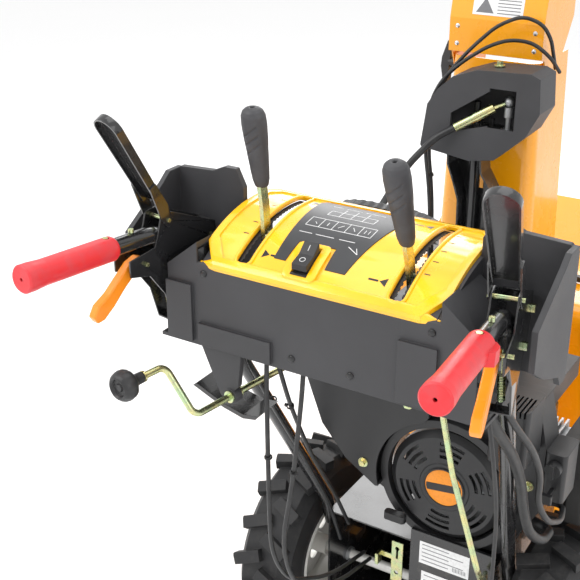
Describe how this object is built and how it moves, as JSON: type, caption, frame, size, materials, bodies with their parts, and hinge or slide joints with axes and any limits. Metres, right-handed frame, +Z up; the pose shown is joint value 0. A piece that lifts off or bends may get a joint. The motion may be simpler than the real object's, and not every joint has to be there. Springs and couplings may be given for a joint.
{
  "type": "two stage snowblower",
  "caption": "Walk-behind two stage snowblower with auger housing, swivelling chute, engine, wheels, dash, levers and red grips.",
  "frame": {"origin": "on the ground under the middle of the machine's length and width", "axes": "+X is the operator's right, +Y is forward towards the auger housing, +Z is up"},
  "size_m": [0.754, 1.535, 1.33],
  "materials": {
    "yellow_paint": "gloss",
    "black_paint": "gloss",
    "wheel_paint": "gloss",
    "muffler_paint": "matte",
    "cast_alloy": "cast",
    "dark_steel": "worn satin",
    "zinc_plate": "yellow passivated zinc",
    "bright_steel": "ground",
    "tyre_rubber": "matte",
    "cable_sheath": "satin",
    "black_plastic": "moulded",
    "charcoal_plastic": "fine texture",
    "red_rubber": "soft satin",
    "orange_plastic": "moulded",
    "yellow_plastic": "gloss",
    "legend_plastic": "satin",
    "grey_rubber": "matte"
  },
  "bodies": {
    "machine": {"auger_gearbox": "cast_alloy", "auger_housing": "yellow_paint", "bearings": "cast_alloy", "belt_cover": "black_paint", "chassis": "black_paint", "chute_support": "black_paint", "control_cables": "cable_sheath", "crank_cable": "cable_sheath", "dash_housing": "charcoal_plastic", "dash_insert": "legend_plastic", "dash_internals": "black_plastic", "dash_panel": "yellow_plastic", "drive_belt": "cable_sheath", "engine_block": "cast_alloy", "engine_covers": "black_plastic", "engine_shroud": "black_plastic", "fuel_tank": "black_plastic", "grips": "red_rubber", "handle_brackets": "black_paint", "handle_tubes": "black_paint", "head_cover": "charcoal_plastic", "muffler": "muffler_paint", "pitch_cables": "cable_sheath", "rear_panel": "black_paint", "recoil_cover": "black_plastic", "scraper_blade": "dark_steel", "skid_shoes": "dark_steel", "zinc_fasteners": "zinc_plate"},
    "auger_rotor": {"augers": "yellow_paint", "auger_shaft": "bright_steel"},
    "impeller_rotor": {"impeller": "black_paint"},
    "wheel_left_rotor": {"wheel_left": "wheel_paint", "tyre_left": "tyre_rubber"},
    "wheel_right_rotor": {"wheel_right": "wheel_paint", "tyre_right": "tyre_rubber"},
    "engine_rotor": {"crankshaft": "cast_alloy"},
    "chute_body": {"chute": "yellow_paint", "chute_gear": "black_plastic"},
    "chute_drive_shaft": {"drive_shaft": "dark_steel"},
    "idler_gear": {"head_idler": "black_plastic"},
    "input_gear": {"head_input": "cast_alloy"},
    "crank_arm": {"crank_handle": "zinc_plate"},
    "crank_grip": {"crank_knob": "black_plastic"},
    "deflector_body": {"deflector": "yellow_paint"},
    "deflector_clamp": {"deflector_knob": "black_plastic"},
    "pitch_stick": {"pitch_lever": "zinc_plate", "pitch_knob": "grey_rubber"},
    "speed_stick": {"speed_lever": "zinc_plate", "speed_knob": "grey_rubber"},
    "speed_link": {"speed_rod": "zinc_plate"},
    "left_clutch": {"clutch_lever_left": "black_paint"},
    "right_clutch": {"clutch_lever_right": "black_paint"},
    "left_trigger": {"trigger_left": "orange_plastic"},
    "right_trigger": {"trigger_right": "orange_plastic"},
    "rocker": {"switch_rocker": "black_plastic"},
    "starter": {"starter_grip": "black_plastic"},
    "filler_cap": {"fuel_cap": "black_plastic"},
    "choke": {"choke_knob": "black_plastic"},
    "throttle": {"throttle_lever": "black_plastic"},
    "cleanout": {"cleanout_tool": "black_plastic"}
  },
  "joints": [
    {"name": "auger_spin", "type": "hinge", "parent": "machine", "child": "auger_rotor", "pos_m": [0, 0.53, 0.18], "axis": [1, 0, 0], "continuous": true},
    {"name": "impeller_spin", "type": "hinge", "parent": "machine", "child": "impeller_rotor", "pos_m": [0, 0.24, 0.18], "axis": [0, 1, 0], "continuous": true},
    {"name": "wheel_left_spin", "type": "hinge", "parent": "machine", "child": "wheel_left_rotor", "pos_m": [-0.247, -0.1125, 0.203], "axis": [1, 0, 0], "continuous": true},
    {"name": "wheel_right_spin", "type": "hinge", "parent": "machine", "child": "wheel_right_rotor", "pos_m": [0.247, -0.1125, 0.203], "axis": [1, 0, 0], "continuous": true},
    {"name": "crankshaft_spin", "type": "hinge", "parent": "machine", "child": "engine_rotor", "pos_m": [0.061, 0, 0.481], "axis": [0, 1, 0], "continuous": true},
    {"name": "chute_swivel", "type": "hinge", "parent": "machine", "child": "chute_body", "pos_m": [-0.035, 0.227, 0.6], "axis": [0, 0, 1], "range_deg": [-100, 100], "deforming": ["pitch_cables"]},
    {"name": "drive_shaft_turn", "type": "hinge", "parent": "machine", "child": "chute_drive_shaft", "pos_m": [-0.035, 0.075, 0.8], "axis": [0, 0, 1], "range_deg": [-540, 540]},
    {"name": "head_idler_turn", "type": "hinge", "parent": "machine", "child": "idler_gear", "pos_m": [-0.0032, 0.066, 1.03], "axis": [0, 0, 1], "range_deg": [-400, 400]},
    {"name": "head_input_turn", "type": "hinge", "parent": "machine", "child": "input_gear", "pos_m": [0.0286, 0.057, 1.05], "axis": [0, 0, 1], "range_deg": [-540, 540]},
    {"name": "crank_turn", "type": "hinge", "parent": "machine", "child": "crank_arm", "pos_m": [-0.133, -0.525, 0.765], "axis": [0.1581, 0.9874, 0], "range_deg": [-540, 540]},
    {"name": "crank_knob_spin", "type": "hinge", "parent": "crank_arm", "child": "crank_grip", "pos_m": [-0.19738, -0.6831, 0.836], "axis": [0.1581, 0.9874, 0], "continuous": true},
    {"name": "deflector_tilt", "type": "hinge", "parent": "chute_body", "child": "deflector_body", "pos_m": [-0.035, 0.19, 1.108], "axis": [1, 0, 0], "range_deg": [-55, 5]},
    {"name": "deflector_clamp_turn", "type": "hinge", "parent": "chute_body", "child": "deflector_clamp", "pos_m": [-0.035, 0.19, 1.108], "axis": [1, 0, 0], "continuous": true},
    {"name": "pitch_lever_tilt", "type": "hinge", "parent": "machine", "child": "pitch_stick", "pos_m": [-0.115, -0.455, 0.89], "axis": [1, 0, 0], "range_deg": [-40, 18]},
    {"name": "speed_lever_tilt", "type": "hinge", "parent": "machine", "child": "speed_stick", "pos_m": [0.115, -0.455, 0.89], "axis": [1, 0, 0], "range_deg": [-38, 8]},
    {"name": "speed_rod_slide", "type": "slide", "parent": "machine", "child": "speed_link", "axis": [0, 0, 1], "range_m": [-0.03, 0.01]},
    {"name": "right_clutch_tilt", "type": "hinge", "parent": "machine", "child": "right_clutch", "pos_m": [0.25697, -0.5205, 1.01], "axis": [0.9848, 0.1736, 0], "range_deg": [0, 48], "stiffness_Nm_per_rad": 0.6, "springref_deg": -34.38},
    {"name": "left_clutch_tilt", "type": "hinge", "parent": "machine", "child": "left_clutch", "pos_m": [-0.25697, -0.5205, 1.01], "axis": [0.9848, -0.1736, 0], "range_deg": [0, 48], "stiffness_Nm_per_rad": 0.6, "springref_deg": -34.38},
    {"name": "right_trigger_pull", "type": "hinge", "parent": "machine", "child": "right_trigger", "pos_m": [0.26446, -0.563, 0.957], "axis": [0.9848, 0.1736, 0], "range_deg": [-18, 0], "stiffness_Nm_per_rad": 0.2, "springref_deg": 28.65},
    {"name": "left_trigger_pull", "type": "hinge", "parent": "machine", "child": "left_trigger", "pos_m": [-0.26446, -0.563, 0.957], "axis": [0.9848, -0.1736, 0], "range_deg": [-18, 0], "stiffness_Nm_per_rad": 0.2, "springref_deg": 28.65},
    {"name": "switch_tilt", "type": "hinge", "parent": "machine", "child": "rocker", "pos_m": [-0.025, -0.506, 0.988], "axis": [1, 0, 0], "range_deg": [-12, 0]},
    {"name": "starter_pull", "type": "slide", "parent": "machine", "child": "starter", "axis": [0, -1, 0], "range_m": [0, 0.45], "stiffness_N_per_m": 5, "springref_m": -0.3},
    {"name": "fuel_cap_turn", "type": "hinge", "parent": "machine", "child": "filler_cap", "pos_m": [0.06, -0.07, 0.76], "axis": [0, 0, 1], "range_deg": [0, 120]},
    {"name": "choke_turn", "type": "hinge", "parent": "machine", "child": "choke", "pos_m": [0.24, -0.185, 0.575], "axis": [0, 1, 0], "range_deg": [0, 90]},
    {"name": "throttle_slide", "type": "slide", "parent": "machine", "child": "throttle", "axis": [0, 0, 1], "range_m": [0, 0.02]},
    {"name": "cleanout_lift", "type": "slide", "parent": "machine", "child": "cleanout", "axis": [0, 0, 1], "range_m": [0, 0.12]}
  ],
  "couplings": [
    {"joint": "impeller_spin", "follows": "auger_spin", "ratio": 10},
    {"joint": "drive_shaft_turn", "follows": "chute_swivel", "ratio": -5.3333},
    {"joint": "head_idler_turn", "follows": "chute_swivel", "ratio": 3.9298},
    {"joint": "head_input_turn", "follows": "chute_swivel", "ratio": -5.3333},
    {"joint": "crank_turn", "follows": "chute_swivel", "ratio": 5.3333},
    {"joint": "pitch_lever_tilt", "follows": "deflector_tilt", "ratio": 0.65},
    {"joint": "speed_rod_slide", "follows": "speed_lever_tilt", "m_per_rad": 0.042}
  ]
}
